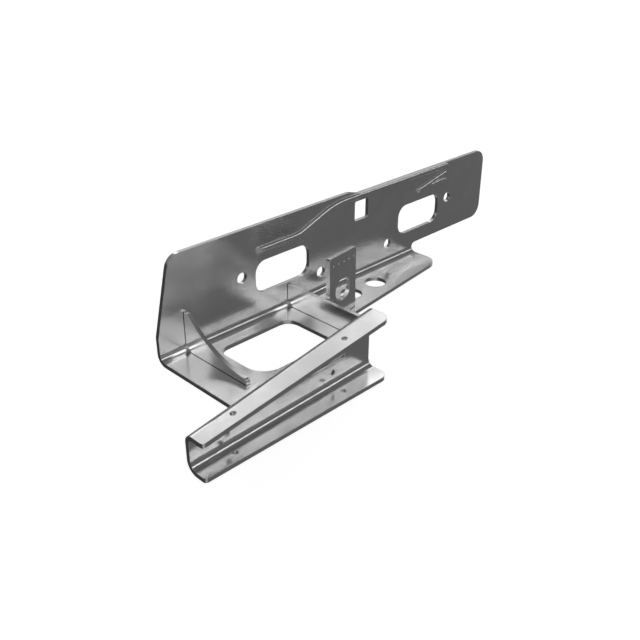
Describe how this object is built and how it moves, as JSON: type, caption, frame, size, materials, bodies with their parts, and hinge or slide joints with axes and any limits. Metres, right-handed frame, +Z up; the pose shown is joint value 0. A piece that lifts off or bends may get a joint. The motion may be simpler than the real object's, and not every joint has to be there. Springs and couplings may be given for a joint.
{
  "type": "sheet steel mounting bracket",
  "caption": "Bolted sheet-steel bracket: wide pressed back plate folded into a base, with a tapered front channel, a cross rib, a corner gusset and an upright lug with a round hole",
  "frame": {"origin": "middle between the two outer bolt holes, on the rear (wall) face of the back plate", "axes": "+X along the back plate to the right as seen from the front, +Y into the wall, +Z up, so the folded base and the channel reach out towards -Y"},
  "size_m": [0.509, 0.1276, 0.1228],
  "materials": {
    "steel": "satin zinc-plated sheet steel"
  },
  "bodies": {
    "root": {"back_plate": "steel", "front_channel": "steel", "cross_rib": "steel", "corner_gusset": "steel", "upright_lug": "steel"}
  },
  "joints": []
}
